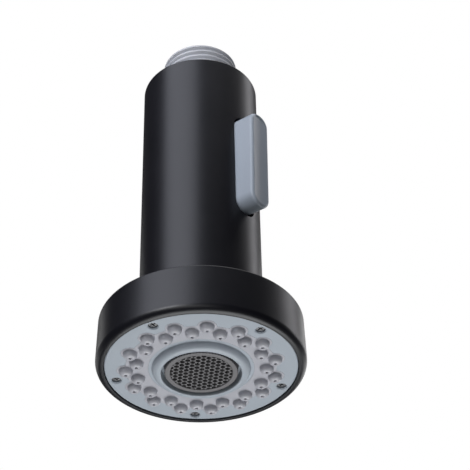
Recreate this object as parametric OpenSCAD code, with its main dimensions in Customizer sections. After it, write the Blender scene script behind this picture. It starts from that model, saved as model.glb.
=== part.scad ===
// Spray head of a pull-down kitchen faucet, with its check valve, diverter, spray face and aerator.
// Units are millimetres. +Z runs up the handle to the hose inlet and the spray face looks down.
// The side button faces -Y. The origin is on the handle's axis, at the plane the head stands on.

/* [Overall] */
// Height from the spray collar's edge to the end of the inlet thread
total_height = 105.3; // [100:0.1:112]
// Diameter of the straight handle
handle_dia = 32; // [28:0.5:36]
// Diameter of the head at its lower edge
head_dia = 53; // [48:0.5:60]
// Height of the head's upper edge
head_top_z = 14.5; // [12:0.5:18]
// Height of the handle's upper end, where the head docks
handle_top_z = 94.3; // [88:0.1:98]

/* [Shell] */
// Wall of the handle
shell_wall = 2; // [1.6:0.1:2.6]
// How far the side of the head leans in from its lower edge to its upper edge
head_lean = 0.36; // [0:0.02:1]
// Rounding of the head's lower edge
head_round = 1.8; // [0.5:0.1:3]
// Rise of the shoulder between the head's upper edge and the handle
shoulder_rise = 2.4; // [0.5:0.1:4]
// Radius of the hollow where the shoulder meets the handle
shoulder_fillet = 2.5; // [1:0.1:4]
// Height of the head's lowest lip above the standing plane
lip_z = 1.33; // [0.8:0.01:2]

/* [Inlet] */
// Outside diameter of the G1/2 inlet thread
thread_dia = 20.955; // [20.8:0.005:21]
// Root diameter of the G1/2 inlet thread
thread_root_dia = 18.631; // [18.5:0.001:18.8]
// Pitch of the inlet thread
thread_pitch = 1.814; // [1.8:0.001:1.82]
// Number of thread crests above the handle
thread_crests = 6; // [4:1:6]
// Bore of the inlet, which takes the strainer
inlet_bore_dia = 15.4; // [14:0.1:16]

/* [Strainer] */
// Diameter of the strainer's two rims
strainer_dia = 15; // [14:0.1:15.2]
// Height of the strainer
strainer_height = 15.8; // [14:0.1:16.4]

/* [Side button] */
// Width of the button
button_width = 7.2; // [5:0.1:8]
// Length of the button along the handle
button_length = 31.6; // [28:0.1:36]
// Height of the button's middle
button_z = 59.2; // [54:0.1:62]
// Distance of the button's outer face from the axis at its upper end
button_reach_top = 21.8; // [20:0.05:23]
// Distance of the button's outer face from the axis at its lower end
button_reach_bottom = 21.25; // [20:0.05:23]
// Angle that the button rocks through
rocker_angle = 6; // [3:0.5:8]

/* [Spray face] */
// Radius of the face plate
face_r = 24.2; // [23:0.1:25]
// Number of rubber nozzles, half of them on each ring
nozzle_count = 30; // [20:2:40]
// Radius of the outer ring of nozzles
nozzle_outer_ring = 18.8; // [18:0.1:20]
// Radius of the inner ring of nozzles
nozzle_inner_ring = 16.3; // [15:0.1:17]
// Radius of a nozzle at its base
nozzle_r = 1.7; // [1.4:0.05:2]
// Number of face screws
face_screw_count = 5; // [4:1:6]
// Radius of the circle of face screws
face_screw_ring = 22; // [21.5:0.1:22.5]
// Angle of the first face screw and the first inner nozzle
face_turn = 46.3; // [0:0.1:72]

/* [Aerator] */
// Outside diameter of the M18.5 aerator thread
aerator_dia = 18.5; // [18:0.1:19]
// Distance between the middles of neighbouring cells in the outlet screen
cell_pitch = 1.45; // [1.2:0.05:2]

/* [Hidden] */
handle_r = handle_dia / 2;
head_r = head_dia / 2;
bore_r = handle_r - shell_wall;
face_z = lip_z + 0.37;
edge_round = 0.4;
dock_lip = 2.2;
nipple_hole_r = 10.8;

bell_r = face_r + 0.1;
bell_ceiling_z = head_top_z - 2.1;
bell_rise = 2;

thread_r = thread_dia / 2;
thread_root_r = thread_root_dia / 2;
crest_width = 0.4;
ridge_width = 1.5;
last_crest_z = total_height - 0.9;
end_chamfer = 0.4;
inlet_r = inlet_bore_dia / 2;
inlet_shelf_z = 88.8;
flange_r = 13.7;
flange_z = 89.6;
spigot_r = 9.4;
spigot_z = 77.5;
valve_bore_r = 6.2;
inlet_ring_heights = [80.4, 84.6];
inlet_ring_wire = 0.65;
inlet_screw_ring = 11.7;
inlet_screw_angles = [30, 150, 270];

strainer_rim = 0.7;
strainer_rim_height = 1.1;
strainer_plate = 0.7;
strainer_wall = 1;
strainer_hole_r = 0.28;
strainer_hole_pitch = 1.25;

valve_seat_z = 86.4;
valve_top_z = 87.6;
valve_r = 6.15;
valve_inner_r = 4.9;
retainer_z = 77.9;
retainer_height = 1.2;
poppet_disc_r = 4.1;
poppet_disc_z = 84.9;
poppet_stem_r = 0.95;
valve_spring_r = 1.9;
valve_spring_wire = 0.22;
valve_spring_turns = 5;

core_r = 11.8;
core_z = 12;
core_socket_z = 77.3;
core_socket_r = 9.5;
core_flat_y = -8.4;
core_flat_half = 17.8;
core_flat_low = button_z - core_flat_half;
core_flat_high = button_z + core_flat_half;
stream_tube_r = 4.6;
stream_tube_z = 8.9;
spray_duct_y = 8;
spray_duct_r = 2.2;
stream_duct_y = 2;
stream_duct_r = 2.6;
supply_y = -4.4;
supply_r = 2.4;
port_r = 2.2;
seat_y = -1.8;

lever = 11;
plunger_travel = lever * rocker_angle * PI / 180;
plunger_bore_r = 3.4;
stem_r = 1.5;
plunger_length = 8.73;
seat_gap = 0.02;
lower_front_y = seat_y - seat_gap;
upper_front_y = lower_front_y - plunger_travel;

pivot_y = -11.6;
pin_r = 0.75;
pin_half = 5;
running_gap = 0.05;
button_inner_y = -13;
button_corner = 3.4;
button_top_z = button_z + button_length / 2;
button_bottom_z = button_z - button_length / 2;
window_side_gap = 0.3;
window_top_gap = 0.7;
window_bottom_gap = 1;
foot_r = 1.2;
cradle_floor_y = -9.8;
cradle_half_width = 7.5;
cradle_screw_x = 4.8;
cradle_screw_lever = 14.6;
button_lean = atan((button_reach_top - button_reach_bottom) / button_length);

plate_height = 2.1;
plate_top_z = face_z + plate_height;
manifold_top_z = 8.4;
chamber_r = 19.9;
chamber_roof_z = 7;
dome_r = 17.5;
dome_wall = 1.6;
dome_z = 12.6;
neck_r = 13.5;
neck_bore_r = 11.95;
neck_z = 17;
face_ring_r = 20.5;
face_ring_wire = 0.4;
hub_r = 11.4;
hub_ceiling_z = 8.6;
hub_top_z = 9.8;
collar_r = 12.3;
collar_inner_r = 10.05;
collar_round = 1.6;
mat_depth = 0.8;
mat_inner_r = 13.2;
mat_ring_r = 18.9;
mat_lobe_r = 2.4;
nozzle_height = 1.65;
nozzle_tip_r = 1.3;
nozzle_hole_r = 0.35;
stem_hole_r = 1.1;
screw_hole_r = 1.2;
screw_shank_r = 0.8;

aerator_r = aerator_dia / 2;
aerator_face_z = 0.4;
aerator_top_z = 8;
aerator_bore_r = 7.9;
screen_z = 0.6;
screen_height = 1.2;
cell_r = 0.66;

black = "#1d1d20";
grey = "#8b939b";
pale = "#a9b0b7";
white = "#dcdcd6";
rubber = "#303033";
steel = "#b9bcc0";
mat_colour = "#b6b1b2";
dark_grey = "#5d5b5e";

// Points of an arc from angle a0 to angle a1 in n steps.
function arc(x, y, r, a0, a1, n = 6) =
    [for (i = [0 : n]) let (a = a0 + (a1 - a0) * i / n) [x + r * cos(a), y + r * sin(a)]];

// Outline of a rectangle with round corners, centred on the origin.
function rounded_outline(w, h, r) = concat(
    arc(w / 2 - r, h / 2 - r, r, 0, 90),
    arc(r - w / 2, h / 2 - r, r, 90, 180),
    arc(r - w / 2, r - h / 2, r, 180, 270),
    arc(w / 2 - r, r - h / 2, r, 270, 360));

// A tube standing at height z.
module tube(z, h, r_out, r_in) {
    translate([0, 0, z])
        difference() {
            cylinder(h = h, r = r_out, $fn = 96);
            translate([0, 0, -1])
                cylinder(h = h + 2, r = r_in, $fn = 96);
        }
}

// A solid round bar standing at height z.
module post(z, h, r) {
    translate([0, 0, z])
        cylinder(h = h, r = r, $fn = 96);
}

// A round bar along Y from y0 to y1 at height z.
module bar_y(y0, y1, r, z) {
    translate([0, y1, z])
        rotate([90, 0, 0])
            cylinder(h = y1 - y0, r = r, $fn = 48);
}

// A round bar along X, centred on x = 0.
module bar_x(half, r, y, z) {
    translate([-half, y, z])
        rotate([0, 90, 0])
            cylinder(h = 2 * half, r = r, $fn = 48);
}

// An O-ring lying flat at height z.
module o_ring(z, r, wire) {
    translate([0, 0, z])
        rotate_extrude($fn = 96)
            translate([r, 0])
                circle(r = wire, $fn = 24);
}

// Copies its children around the axis, one at each face screw.
module at_face_screws() {
    for (i = [0 : face_screw_count - 1])
        rotate([0, 0, face_turn + 360 / face_screw_count * i])
            translate([face_screw_ring, 0, 0])
                children();
}

// Copies its children to the two screws of the cradle, which sit at opposite corners.
module at_cradle_screws() {
    for (side = [-1, 1])
        translate([side * cradle_screw_x, 0, side * cradle_screw_lever])
            children();
}

// Copies its children to each nozzle of one ring: ring 0 is the inner one, ring 1 the outer one.
module at_nozzles(ring) {
    step = 720 / nozzle_count;
    for (i = [0 : nozzle_count / 2 - 1])
        rotate([0, 0, face_turn + step * (i + ring / 2)])
            translate([ring == 0 ? nozzle_inner_ring : nozzle_outer_ring, 0, 0])
                children();
}

// A coil spring of round wire standing at height z, with its two ends on z and z + h.
module coil_spring(z, h, r, wire, turns) {
    sides = 6;
    steps = 14;
    rings = turns * steps;
    rise = (h - 2 * wire) / rings;
    points = [for (i = [0 : rings], k = [0 : sides - 1])
        let (turn = 360 * i / steps, a = 360 * k / sides, out = r + wire * cos(a))
        [out * cos(turn), out * sin(turn), z + wire + rise * i + wire * sin(a)]];
    skin = [for (i = [0 : rings - 1], k = [0 : sides - 1])
        let (m = (k + 1) % sides, p = i * sides)
        [p + k, p + sides + k, p + sides + m, p + m]];
    start = [[for (k = [0 : sides - 1]) k]];
    end = [[for (k = [sides - 1 : -1 : 0]) rings * sides + k]];
    polyhedron(points = points, faces = concat(skin, start, end), convexity = 8);
}

// Black handle and head in one piece, open at the bottom, with the button's window.
module outer_shell() {
    outside = concat(
        [[bell_r, lip_z]],
        arc(head_r - head_round, lip_z + head_round, head_round, 270, 360),
        arc(head_r - head_lean - edge_round, head_top_z - edge_round, edge_round, 0, 90, 3),
        arc(handle_r + shoulder_fillet, head_top_z + shoulder_rise + shoulder_fillet,
            shoulder_fillet, 270, 180),
        arc(handle_r - edge_round, handle_top_z - edge_round, edge_round, 0, 90, 3));
    inside = [
        [nipple_hole_r, handle_top_z],
        [nipple_hole_r, handle_top_z - dock_lip],
        [bore_r, handle_top_z - dock_lip],
        [bore_r, bell_ceiling_z + bell_rise + 2.4],
        [bore_r + 2.4, bell_ceiling_z + bell_rise],
        [bell_r, bell_ceiling_z]];
    color(black)
        difference() {
            union() {
                rotate_extrude($fn = 128)
                    polygon(concat(outside, inside));
                at_face_screws()
                    post(manifold_top_z, bell_ceiling_z + 1 - manifold_top_z, 2.5);
            }
            translate([0, button_inner_y + 1, button_z - (window_bottom_gap - window_top_gap) / 2])
                rotate([90, 0, 0])
                    linear_extrude(height = 6)
                        polygon(rounded_outline(
                            button_width + 2 * window_side_gap,
                            button_length + window_top_gap + window_bottom_gap,
                            button_corner + window_side_gap));
            at_face_screws()
                post(manifold_top_z - 1, 4.8, screw_shank_r);
        }
}

// Grey inlet piece: threaded end, flange under the shell's lip and spigot into the core.
module inlet_nipple() {
    ridges = [for (i = [thread_crests - 1 : -1 : 0])
        let (z = last_crest_z - thread_pitch * i)
        each [[thread_root_r, z - ridge_width / 2], [thread_r, z - crest_width / 2],
              [thread_r, z + crest_width / 2], [thread_root_r, z + ridge_width / 2]]];
    outline = concat(
        [[valve_bore_r, spigot_z], [spigot_r, spigot_z], [spigot_r, flange_z],
         [flange_r, flange_z], [flange_r, handle_top_z - dock_lip],
         [thread_root_r, handle_top_z - dock_lip]],
        ridges,
        [[thread_root_r, total_height],
         [inlet_r + end_chamfer, total_height], [inlet_r, total_height - end_chamfer],
         [inlet_r, inlet_shelf_z], [valve_bore_r, inlet_shelf_z]]);
    color(grey)
        difference() {
            rotate_extrude($fn = 128)
                polygon(outline);
            for (z = inlet_ring_heights)
                tube(z - 0.8, 1.6, spigot_r + 1, spigot_r - 1.2);
            for (a = inlet_screw_angles)
                rotate([0, 0, a])
                    translate([inlet_screw_ring, 0, 0]) {
                        post(flange_z - 1, 4, 0.9);
                        post(handle_top_z - dock_lip - 1.2, 2, 1.6);
                    }
        }
}

// Two O-rings that seal the nipple's spigot in the core.
module inlet_o_rings() {
    color(rubber)
        for (z = inlet_ring_heights)
            o_ring(z, core_socket_r - inlet_ring_wire, inlet_ring_wire);
}

// Three screws that hold the nipple down on the core.
module inlet_screws() {
    color(steel)
        for (a = inlet_screw_angles)
            rotate([0, 0, a])
                translate([inlet_screw_ring, 0, 0])
                    difference() {
                        union() {
                            post(handle_top_z - dock_lip - 1.2, 1, 1.5);
                            post(flange_z - 6, 7.4, 0.8);
                        }
                        translate([0, 0, handle_top_z - dock_lip - 0.2])
                            cube([0.4, 2, 0.8], center = true);
                    }
}

// Half of a strainer disc, drilled in staggered rows.
module strainer_screen() {
    rows = 5;
    difference() {
        intersection() {
            cylinder(h = strainer_plate, r = strainer_dia / 2 - strainer_rim / 2, $fn = 96);
            translate([-strainer_dia, 0, 0])
                cube([2 * strainer_dia, strainer_dia, strainer_plate]);
        }
        for (row = [1 : rows], i = [-6 : 6]) {
            x = (i + (row % 2) / 2) * strainer_hole_pitch;
            y = row * strainer_hole_pitch * 0.87 + 0.2;
            if (norm([x, y]) < strainer_dia / 2 - strainer_rim - strainer_hole_r && norm([x, y]) > 2.2)
                translate([x, y, -1])
                    cylinder(h = 3, r = strainer_hole_r, $fn = 16);
        }
    }
}

// Lift-out strainer: two rims joined by a wall, with a drilled half disc at each end on opposite sides.
module strainer_cartridge() {
    r = strainer_dia / 2;
    upper = strainer_height - strainer_rim_height;
    color("#7d858f")
        translate([0, 0, inlet_shelf_z + seat_gap])
            rotate([0, 0, 35]) {
                tube(0, strainer_rim_height, r, r - strainer_rim);
                tube(upper, strainer_rim_height, r, r - strainer_rim);
                translate([0, 0, upper + 0.2])
                    strainer_screen();
                rotate([0, 0, 180])
                    translate([0, 0, 0.2])
                        strainer_screen();
                translate([-r + 0.5, -strainer_wall / 2, 0.1])
                    cube([2 * r - 1, strainer_wall, strainer_height - 0.4]);
                for (side = [-1, 1])
                    translate([side * (r - 1.1), 0, strainer_height / 2])
                        cube([1.2, 1.9, strainer_height - 0.6], center = true);
                post(upper - 0.4, 1.3, 1.5);
            }
}

// Check valve cartridge, pressed into the nipple from below.
module check_valve_body() {
    color(white)
        difference() {
            post(retainer_z, valve_top_z - retainer_z, valve_r);
            post(retainer_z - 1, valve_seat_z - retainer_z + 1, valve_inner_r);
            post(valve_seat_z - 1, 4, 3.4);
        }
}

// Guide that closes the check valve and carries its stem and spring.
module check_valve_retainer() {
    color(white)
        difference() {
            post(retainer_z, retainer_height, valve_inner_r);
            post(retainer_z - 1, 4, poppet_stem_r + running_gap);
            for (i = [0 : 2])
                rotate([0, 0, 120 * i])
                    translate([0, 0, retainer_z - 1])
                        rotate_extrude(angle = 84, $fn = 64)
                            translate([2.4, 0])
                                square([1.7, 4]);
        }
}

// Poppet with its nose in the seat, its disc under the seal and its stem in the guide.
module check_valve_poppet() {
    color(pale) {
        post(76.5, poppet_disc_z - 76.5, poppet_stem_r);
        post(poppet_disc_z, 1, poppet_disc_r);
        translate([0, 0, poppet_disc_z + 1])
            cylinder(h = 1.5, r1 = 2.6, r2 = 1.2, $fn = 64);
    }
}

// Flat rubber seal on the poppet, against the seat.
module check_valve_seal() {
    color(rubber)
        tube(poppet_disc_z + 1, valve_seat_z - seat_gap - poppet_disc_z - 1, 4.3, 2.6);
}

// Spring that closes the check valve.
module check_valve_spring() {
    gap = 0.01;
    color(steel)
        coil_spring(retainer_z + retainer_height + gap,
            poppet_disc_z - retainer_z - retainer_height - 2 * gap,
            valve_spring_r, valve_spring_wire, valve_spring_turns);
}

// Body inside the handle with the supply bore, both valve chambers, the spray duct and the stream duct.
module valve_core() {
    color(white)
        difference() {
            union() {
                post(core_z, flange_z - core_z, core_r);
                post(flange_z - 3, 3, bore_r - 0.2);
                post(stream_tube_z, core_z - stream_tube_z + 1, stream_tube_r);
            }
            translate([-20, core_flat_y - 20, core_flat_low])
                cube([40, 20, core_flat_high - core_flat_low]);
            post(core_socket_z, 20, core_socket_r);
            post(72, 8, 4.6);
            post(stream_tube_z - 1, 24 - stream_tube_z + 1, 3);
            translate([0, stream_duct_y, 0])
                post(20, button_z - lever + 3.2 - 20, stream_duct_r);
            translate([0, spray_duct_y, 0])
                post(core_z - 1, button_z + lever + 2.2 - core_z + 1, spray_duct_r);
            translate([0, supply_y, 0])
                post(45, 28, supply_r);
            for (side = [-1, 1])
                bar_y(core_flat_y - 1, seat_y, plunger_bore_r, button_z + side * lever);
            bar_y(seat_y - 1, stream_duct_y, port_r, button_z - lever);
            bar_y(seat_y - 1, spray_duct_y, port_r - 0.05, button_z + lever);
            tube(13.7, 1.2, core_r + 1, 10.85);
            at_cradle_screws()
                bar_y(core_flat_y - 1, -5.2, 0.8, button_z);
            for (a = inlet_screw_angles)
                rotate([0, 0, a])
                    translate([inlet_screw_ring, 0, 0])
                        post(flange_z - 6.5, 8, 0.8);
        }
}

// Two bushes that guide the plunger stems and hold their O-rings.
module plunger_bushes() {
    color(pale)
        for (side = [-1, 1])
            difference() {
                bar_y(core_flat_y, -5.6, plunger_bore_r - 0.05, button_z + side * lever);
                bar_y(core_flat_y - 1, -5, stem_r + running_gap, button_z + side * lever);
                bar_y(-6.9, -5, 2.75, button_z + side * lever);
            }
}

// Two O-rings around the plunger stems.
module plunger_o_rings() {
    wire = 0.6;
    color(rubber)
        for (side = [-1, 1])
            translate([0, -6.25, button_z + side * lever])
                rotate([90, 0, 0])
                    o_ring(0, stem_r + 0.02 + wire, wire);
}

// One plunger with its head's front at y = front.
module plunger(front, z) {
    difference() {
        union() {
            bar_y(front - 2.2, front - 0.5, 2.9, z);
            bar_y(front - plunger_length, front - 2, stem_r, z);
        }
        bar_y(front - 1, front, 2.7, z);
    }
}

// Plunger that closes the spray port when the button's upper end is pressed.
module upper_plunger() {
    color(grey)
        plunger(upper_front_y, button_z + lever);
}

// Rubber disc in the upper plunger's head.
module upper_plunger_seal() {
    color(rubber)
        bar_y(upper_front_y - 1, upper_front_y, 2.7, button_z + lever);
}

// Plunger that closes the stream port while the button's lower end is pressed in.
module lower_plunger() {
    color(grey)
        plunger(lower_front_y, button_z - lever);
}

// Rubber disc in the lower plunger's head.
module lower_plunger_seal() {
    color(rubber)
        bar_y(lower_front_y - 1, lower_front_y, 2.7, button_z - lever);
}

// Frame screwed to the core's flat, with the two ears that hold the button's pin.
module rocker_cradle() {
    low = core_flat_low + 1;
    high = core_flat_high - 1;
    ear_r = 1.3;
    color(black)
        difference() {
            union() {
                translate([-cradle_half_width, cradle_floor_y, low])
                    cube([2 * cradle_half_width, core_flat_y - cradle_floor_y, high - low]);
                for (side = [-1, 1])
                    translate([side * 4.15, 0, 0]) {
                        bar_x(0.85, ear_r, pivot_y, button_z);
                        translate([-0.85, pivot_y, button_z - ear_r])
                            cube([1.7, cradle_floor_y - pivot_y + 0.1, 2 * ear_r]);
                    }
            }
            bar_x(pin_half, pin_r, pivot_y, button_z);
            translate([-3.1, cradle_floor_y - 1, button_z - 2.6])
                cube([6.2, 4, 5.2]);
            for (side = [-1, 1])
                bar_y(cradle_floor_y - 1, core_flat_y + 1, stem_r + 0.3, button_z + side * lever);
            at_cradle_screws()
                bar_y(cradle_floor_y - 1, core_flat_y + 1, 0.9, button_z);
        }
}

// Two screws that hold the cradle on the core.
module cradle_screws() {
    color(steel)
        at_cradle_screws()
            difference() {
                union() {
                    bar_y(cradle_floor_y - 1, cradle_floor_y, 1.5, button_z);
                    bar_y(cradle_floor_y, -5.3, 0.8, button_z);
                }
                translate([0, cradle_floor_y - 1, button_z])
                    cube([0.4, 1, 2.1], center = true);
            }
}

// Steel pin that the button rocks on.
module rocker_pin() {
    color(steel)
        bar_x(pin_half, pin_r, pivot_y, button_z);
}

// A foot on the button's inner face whose round tip stops just short of y = tip.
module rocker_foot(tip, z) {
    contact_gap = 0.05;
    centre = tip - contact_gap - foot_r;
    bar_x(1.3, foot_r, centre, z);
    translate([-1.3, button_inner_y - 0.5, z - foot_r])
        cube([2.6, centre - button_inner_y + 0.5, 2 * foot_r]);
}

// Grey side button with its pivot boss and the two feet that work the plungers.
module rocker_button() {
    boss_r = 1.6;
    boss_half = 2.9;
    reach = (button_reach_top + button_reach_bottom) / 2;
    color(grey)
        difference() {
            union() {
                difference() {
                    translate([0, button_inner_y, button_z])
                        rotate([90, 0, 0])
                            linear_extrude(height = 12)
                                polygon(rounded_outline(button_width, button_length, button_corner));
                    translate([0, -reach, button_z])
                        rotate([button_lean, 0, 0])
                            translate([-10, -20, -30])
                                cube([20, 20, 60]);
                }
                bar_x(boss_half, boss_r, pivot_y, button_z);
                translate([-boss_half, button_inner_y - 0.5, button_z - boss_r])
                    cube([2 * boss_half, pivot_y - button_inner_y + 0.5, 2 * boss_r]);
                rocker_foot(upper_front_y - plunger_length, button_z + lever);
                rocker_foot(lower_front_y - plunger_length, button_z - lever);
            }
            bar_x(boss_half + 1, pin_r + running_gap, pivot_y, button_z);
        }
}

// O-ring between the core and the manifold's neck.
module manifold_o_ring() {
    color(rubber)
        o_ring(14.3, neck_bore_r - 0.55, 0.55);
}

// Cover behind the face plate that leads the spray water from the core to the nozzles.
module spray_manifold() {
    color(white)
        difference() {
            union() {
                post(plate_top_z, manifold_top_z - plate_top_z, face_r - 0.2);
                post(manifold_top_z - 1, dome_z - manifold_top_z + 1, dome_r);
                post(dome_z - 1, neck_z - dome_z + 1, neck_r);
            }
            post(plate_top_z - 1, chamber_roof_z - plate_top_z + 1, chamber_r);
            post(chamber_roof_z - 1, dome_z - dome_wall - chamber_roof_z + 1, dome_r - dome_wall);
            post(dome_z - 3, 20, neck_bore_r);
            tube(plate_top_z - 1, 1.8, face_ring_r + face_ring_wire, face_ring_r - face_ring_wire);
            at_face_screws()
                post(plate_top_z - 1, 20, screw_shank_r + 0.15);
        }
}

// O-ring between the manifold and the face plate.
module face_o_ring() {
    color(rubber)
        o_ring(plate_top_z + face_ring_wire, face_ring_r, face_ring_wire);
}

// O-ring around the stream tube, in the face plate's hub.
module stream_o_ring() {
    color(rubber)
        o_ring(hub_top_z + 0.4, stream_tube_r + 0.45, 0.45);
}

// Outline of the rubber mat on the spray face: a ring with a lobe around each outer nozzle.
module mat_outline() {
    difference() {
        union() {
            circle(r = mat_ring_r, $fn = 96);
            at_nozzles(1)
                circle(r = mat_lobe_r, $fn = 32);
        }
        circle(r = mat_inner_r, $fn = 96);
    }
}

// Grey face plate with the raised collar, the aerator's hub and the recess for the mat.
module face_plate() {
    collar = concat(
        [[collar_inner_r, 0]],
        arc(collar_r - collar_round, collar_round, collar_round, 270, 360),
        [[collar_r, face_z + 1], [collar_inner_r, face_z + 1]]);
    color(pale)
        difference() {
            union() {
                rotate_extrude($fn = 128)
                    polygon(collar);
                post(face_z, plate_height, face_r);
                post(face_z + 1, hub_top_z - face_z - 1, hub_r);
                post(hub_top_z - 1, 2.2, 6.4);
            }
            post(-1, 3.6, collar_inner_r);
            post(1, hub_ceiling_z - 1, aerator_r + 0.1);
            post(1, 20, stream_tube_r + 0.05);
            post(hub_top_z - 0.1, 1, stream_tube_r + 0.9);
            translate([0, 0, face_z - 1])
                linear_extrude(height = mat_depth + 1)
                    mat_outline();
            for (ring = [0, 1])
                at_nozzles(ring)
                    post(0, 10, stem_hole_r);
            at_face_screws() {
                post(0, face_z + 1.4, screw_hole_r);
                post(0, 10, screw_shank_r + 0.1);
            }
        }
}

// Soft mat with all the nozzles, lying in the face plate's recess.
module nozzle_mat() {
    tip_z = face_z - nozzle_height;
    nozzle = [[nozzle_hole_r, tip_z], [0.8, tip_z], [nozzle_tip_r, tip_z + 0.35],
              [nozzle_r, face_z - 0.4], [nozzle_r, face_z + 0.4], [stem_hole_r - 0.05, face_z + 0.4],
              [stem_hole_r - 0.05, plate_top_z], [0.6, plate_top_z], [0.6, face_z],
              [nozzle_hole_r, face_z - 0.6]];
    color(mat_colour)
        union() {
            difference() {
                translate([0, 0, face_z])
                    linear_extrude(height = mat_depth)
                        mat_outline();
                for (ring = [0, 1])
                    at_nozzles(ring)
                        post(0, 10, 1.3);
            }
            for (ring = [0, 1])
                at_nozzles(ring)
                    rotate_extrude($fn = 32)
                        polygon(nozzle);
        }
}

// Five screws that clamp the face plate and the manifold to the shell.
module face_screws() {
    head_z = face_z + 0.6;
    color(steel)
        at_face_screws()
            difference() {
                union() {
                    post(head_z, 0.8, screw_hole_r - 0.1);
                    post(head_z, 9.4, screw_shank_r);
                }
                translate([0, 0, head_z])
                    cube([0.35, 1.5, 0.7], center = true);
                translate([0, 0, head_z])
                    cube([1.5, 0.35, 0.7], center = true);
            }
}

// Washer on top of the aerator.
module aerator_seal() {
    color(rubber)
        tube(aerator_top_z, hub_ceiling_z - aerator_top_z, 9.1, 7.2);
}

// Threaded cage of the aerator, with key notches round its face.
module aerator_housing() {
    ridges = [for (i = [0 : 4])
        let (z = 3.2 + i)
        each [[8.75, z - 0.4], [aerator_r, z - 0.08], [aerator_r, z + 0.08], [8.75, z + 0.4]]];
    outline = concat(
        [[7.5, aerator_face_z], [8.9, aerator_face_z], [9.1, aerator_face_z + 0.2],
         [9.1, 2.3], [8.75, 2.5]],
        ridges,
        [[8.75, aerator_top_z], [aerator_bore_r, aerator_top_z],
         [aerator_bore_r, screen_z], [7.5, screen_z]]);
    color(dark_grey)
        difference() {
            rotate_extrude($fn = 96)
                polygon(outline);
            for (i = [0 : 23])
                rotate([0, 0, 15 * i])
                    translate([9.1, 0, 0])
                        cube([0.7, 0.8, 3], center = true);
        }
}

// Fine filter on top of the aerator.
module aerator_filter() {
    color(dark_grey)
        difference() {
            post(7.2, 0.8, aerator_bore_r - 0.05);
            for (row = [-5 : 5], i = [-6 : 6]) {
                x = (i + abs(row % 2) / 2) * 1.3;
                y = row * 1.13;
                if (norm([x, y]) < 6.7)
                    translate([x, y, 6])
                        cylinder(h = 3, r = 0.4, $fn = 16);
            }
        }
}

// Insert that breaks the water into fine jets and draws in air.
module aerator_insert() {
    jets = 20;
    color(white)
        difference() {
            union() {
                post(5.6, 1.6, aerator_bore_r - 0.05);
                post(4, 1.7, 4);
            }
            for (i = [0 : jets - 1])
                rotate([0, 0, 360 / jets * i])
                    translate([6, 0, 5])
                        cylinder(h = 3, r = 0.45, $fn = 20);
        }
}

// Outlet screen of six-sided cells that straightens the stream.
module aerator_screen() {
    reach = 5;
    color(dark_grey)
        difference() {
            post(screen_z, screen_height, aerator_bore_r - 0.05);
            for (row = [-reach : reach], i = [-reach - 1 : reach + 1]) {
                x = (i + abs(row % 2) / 2) * cell_pitch;
                y = row * cell_pitch * sqrt(3) / 2;
                if (norm([x, y]) < 6.75)
                    translate([x, y, 0])
                        rotate([0, 0, 30])
                            cylinder(h = 4, r = cell_r, $fn = 6);
            }
        }
}

outer_shell();
inlet_nipple();
inlet_o_rings();
inlet_screws();
strainer_cartridge();
check_valve_body();
check_valve_retainer();
check_valve_poppet();
check_valve_seal();
check_valve_spring();
valve_core();
plunger_bushes();
plunger_o_rings();
upper_plunger();
upper_plunger_seal();
lower_plunger();
lower_plunger_seal();
rocker_cradle();
cradle_screws();
rocker_pin();
rocker_button();
manifold_o_ring();
spray_manifold();
face_o_ring();
stream_o_ring();
face_plate();
nozzle_mat();
face_screws();
aerator_seal();
aerator_housing();
aerator_filter();
aerator_insert();
aerator_screen();
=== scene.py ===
"""Looks of a kitchen faucet's spray head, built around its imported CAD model.

The shell, inlet, button, spray face, aerator and strainer are modelled here in fine detail and
stand for their CAD nodes. Every other node keeps its CAD mesh and gets a finish. Meshes are drawn
in millimetres and turned into metres as they are handed over.
"""

import logging
import math
from collections.abc import Sequence
from dataclasses import dataclass, field
from enum import Enum

import bmesh
import bpy
from mathutils import Matrix, Vector


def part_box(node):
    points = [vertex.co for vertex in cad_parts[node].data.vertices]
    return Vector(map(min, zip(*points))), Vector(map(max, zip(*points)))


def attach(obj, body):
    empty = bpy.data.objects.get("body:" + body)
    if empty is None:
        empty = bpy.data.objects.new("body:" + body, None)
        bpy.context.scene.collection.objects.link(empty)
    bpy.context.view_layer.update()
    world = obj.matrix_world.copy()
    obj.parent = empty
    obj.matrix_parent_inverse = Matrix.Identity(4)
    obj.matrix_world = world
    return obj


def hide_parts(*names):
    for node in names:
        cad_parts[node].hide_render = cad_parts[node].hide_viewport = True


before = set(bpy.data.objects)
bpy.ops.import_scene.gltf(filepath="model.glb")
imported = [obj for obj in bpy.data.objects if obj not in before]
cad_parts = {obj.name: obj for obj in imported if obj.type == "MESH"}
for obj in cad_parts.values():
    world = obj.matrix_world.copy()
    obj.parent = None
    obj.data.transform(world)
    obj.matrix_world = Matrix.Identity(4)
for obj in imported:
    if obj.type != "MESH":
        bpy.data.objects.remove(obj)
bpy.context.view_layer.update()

LOG = logging.getLogger("spray_head")
MM = 0.001
TURN = 2 * math.pi
LOW, HIGH = 0, 1

Corner = tuple[float, float, float]
Outline = Sequence[Sequence[float]]
Colour = tuple[float, float, float, float]
Solid = bmesh.types.BMesh


class Body(Enum):
    """The CAD bodies that the new pieces ride on."""

    HEAD = "spray_head"
    ROCKER = "rocker"
    STRAINER = "strainer"


class Operation(Enum):
    """What a boolean does with its tool."""

    CUT = "DIFFERENCE"
    JOIN = "UNION"
    KEEP = "INTERSECT"


# ---------------------------------------------------------------- shader nodes


def tint(red: int, green: int, blue: int) -> Colour:
    """Turns display values from 0 to 255 into the linear colour that a shader takes.

    Args:
        red: Display red.
        green: Display green.
        blue: Display blue.

    Returns:
        Linear red, green and blue with an alpha of one.
    """
    linear = [((c / 255 + 0.055) / 1.055) ** 2.4 if c > 10 else c / 255 / 12.92 for c in (red, green, blue)]
    return (*linear, 1.0)


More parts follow.
